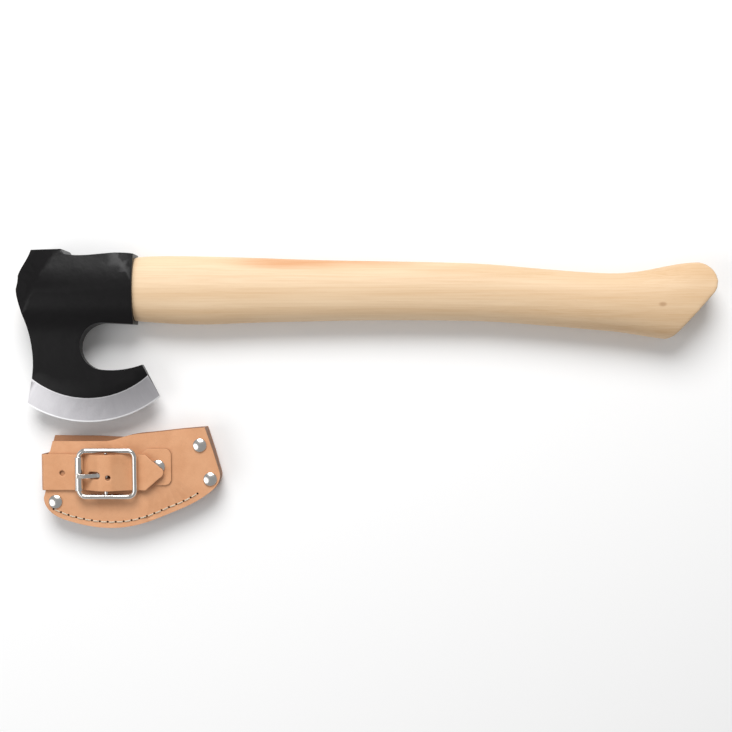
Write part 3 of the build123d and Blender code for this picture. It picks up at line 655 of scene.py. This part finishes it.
# ---------------------------------------------------------------- studio
@dataclass(frozen=True)
class Studio:
    """Floor, soft light from the poll side and the camera above."""

    floor: Rgb = (0.95, 0.95, 0.95)
    key: float = 27.0
    fill: float = 4.0
    world: float = 0.36
    height: float = 0.86
    centre_y: float = 0.0163
    half_width: float = 0.2562

    def light(self, name: str, place: Vector, size: float, power: float) -> None:
        """Add an area light aimed at the middle of the object."""
        data = bpy.data.lights.new(name, "AREA")
        data.shape = "DISK"
        data.size = size
        data.energy = power
        lamp = bpy.data.objects.new(name, data)
        bpy.context.scene.collection.objects.link(lamp)
        lamp.location = place
        lamp.rotation_euler = (Vector((0, 0, 0.02)) - place).to_track_quat("-Z", "Y").to_euler()

    def build(self) -> None:
        """Make the floor, the lights, the world and the camera."""
        mesh = bpy.data.meshes.new("floor")
        size = 3.0
        corners = [(-size, -size, 0), (size, -size, 0), (size, size, 0), (-size, size, 0)]
        mesh.from_pydata(corners, [], [(0, 1, 2, 3)])
        floor = bpy.data.objects.new("floor", mesh)
        bpy.context.scene.collection.objects.link(floor)
        floor.location.z = -0.0004
        paper = bpy.data.materials.new("paper")
        paper.use_nodes = True
        surface = paper.node_tree.nodes["Principled BSDF"]
        surface.inputs["Base Color"].default_value = (*self.floor, 1.0)
        surface.inputs["Roughness"].default_value = 0.8
        mesh.materials.append(paper)
        self.light("key", Vector((-0.15, 1.15, 1.25)), 1.1, self.key)
        self.light("fill", Vector((-0.95, -0.35, 1.0)), 1.0, self.fill)
        world = bpy.data.worlds.new("studio")
        world.use_nodes = True
        ground = world.node_tree.nodes["Background"]
        ground.inputs["Color"].default_value = (1.0, 1.0, 1.0, 1.0)
        ground.inputs["Strength"].default_value = self.world
        bpy.context.scene.world = world
        bpy.context.scene.view_settings.view_transform = "Standard"
        data = bpy.data.cameras.new("camera")
        data.sensor_width = 36.0
        data.lens = 18.0 * self.height / self.half_width
        camera = bpy.data.objects.new("camera", data)
        camera.location = (0.0, self.centre_y, self.height + 0.02)
        bpy.context.scene.collection.objects.link(camera)
        bpy.context.scene.camera = camera
        log.info("camera %.0f mm lens at %.2f m", data.lens, camera.location.z)


# ---------------------------------------------------------------- assembly
@dataclass
class Hatchet:
    """Head, handle and wedges."""

    steel: ForgedSteel = field(default_factory=ForgedSteel)
    wood: Birch = field(default_factory=Birch)

    def build(self) -> None:
        """Build the pieces that ride on the hatchet body."""
        head = cad_copy("axe_head", "axe_head_look")
        soften_head(head, self.steel)
        head.data.materials.clear()
        head.data.materials.append(steel_material("painted_forging", self.steel))
        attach(head, Body.HATCHET.value)
        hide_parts("axe_head")
        log.info("axe_head: %d faces", len(head.data.polygons))
        Piece("handle", Body.HATCHET, Slot.BIRCH, birch_material("birch", self.wood), voxel=0.9 * MM,
              passes=8).build()
        dark = Birch(pale=(0.52, 0.34, 0.18), dark=(0.38, 0.22, 0.11))
        Piece("eye_wedge", Body.HATCHET, Slot.WEDGE_WOOD, birch_material("wedge_wood", dark, 9.0)).build()
        Piece("cross_wedge", Body.HATCHET, Slot.BARE_STEEL,
              metal_material("wedge_steel", Metal((0.45, 0.45, 0.46), 0.35))).build()


def soften_head(head: bpy.types.Object, steel: ForgedSteel) -> None:
    """Round the forging's corners but leave the cutting edge keen.

    Args:
        head: the head's object, changed in place.
        steel: gives the edge's centre and radii.
    """
    work = bmesh.new()
    work.from_mesh(head.data)
    bmesh.ops.dissolve_limit(work, angle_limit=math.radians(0.5), verts=work.verts, edges=work.edges)
    bmesh.ops.triangulate(work, faces=work.faces)
    weight = work.edges.layers.float.new("bevel_weight_edge")
    for edge in work.edges:
        middle = (edge.verts[0].co + edge.verts[1].co) / 2
        radius = math.hypot(middle.x - steel.centre[0], middle.y - steel.centre[1])
        keen = radius > steel.bevel_radius + 0.004 and middle.y < 0.02
        if len(edge.link_faces) == 2 and edge.calc_face_angle() > math.radians(38) and not keen:
            edge[weight] = 1.0
    work.to_mesh(head.data)
    work.free()
    head.data.shade_smooth()
    head.data.set_sharp_from_angle(angle=math.radians(24))
    cut = head.modifiers.new("forged", "BEVEL")
    cut.width = 1.9 * MM
    cut.segments = 4
    cut.limit_method = "WEIGHT"
    cut.harden_normals = True
    bake(head)


@dataclass
class BladeCover:
    """Leather panels, strap, rivets and thread."""

    nickel: Metal = field(default_factory=Metal)

    def build(self) -> None:
        """Build the pieces that ride on the cover body."""
        hide = leather_material("veg_tan", Leather(flesh_side=-1.0))
        belt = leather_material("veg_tan_strap", Leather(face=(0.73, 0.375, 0.195), tone=(0.62, 0.28, 0.13)))
        core = leather_material("welt_edge", Leather(face=(0.42, 0.21, 0.10), tone=(0.30, 0.14, 0.06)))
        plate = metal_material("nickel_plate", self.nickel)
        under = leather_material("veg_tan_flesh_up", Leather(flesh_side=1.0))
        for node, skin in (("front_panel", hide), ("back_panel", under)):
            Piece(node, Body.COVER, Slot.LEATHER, skin, bevel=0.45 * MM).build()
        Piece("welt", Body.COVER, Slot.WELT, core, voxel=0.55 * MM, passes=2).build()
        Piece("strap", Body.COVER, Slot.LEATHER, belt, voxel=0.34 * MM, passes=18).build()
        Piece("buckle_tab", Body.COVER, Slot.LEATHER, belt, voxel=0.28 * MM, passes=3).build()
        for node in ("corner_caps", "tab_rivet_cap", "strap_rivet_cap"):
            Piece(node, Body.COVER, Slot.NICKEL, plate, voxel=0.2 * MM, passes=14).build()
        for node in ("corner_posts", "tab_rivet_post", "strap_rivet_post"):
            Piece(node, Body.COVER, Slot.NICKEL, plate).build()
        stitches = SeamStitches(thread_material("thread", Thread()))
        stitches.build("thread_front", 1, 4)
        stitches.build("thread_back", -1, 7)


@dataclass
class Buckle:
    """Wire frame, centre bar, roller and tongue."""

    nickel: Metal = Metal(rough=0.13)

    def build(self) -> None:
        """Build the buckle's pieces, each on its own body."""
        plate = metal_material("buckle_plate", self.nickel)
        Piece("buckle_frame", Body.BUCKLE, Slot.NICKEL, plate, voxel=0.26 * MM, passes=8).build()
        Piece("centre_bar", Body.BUCKLE, Slot.NICKEL, plate, voxel=0.22 * MM, passes=5).build()
        Piece("roller", Body.ROLLER, Slot.NICKEL, plate, voxel=0.2 * MM, passes=3).build()
        Piece("tongue", Body.TONGUE, Slot.NICKEL, plate, voxel=0.16 * MM, passes=8).build()


def main() -> None:
    """Build every sub-assembly and the studio."""
    Hatchet().build()
    BladeCover().build()
    Buckle().build()
    Studio().build()


if __name__ == "__main__":
    main()
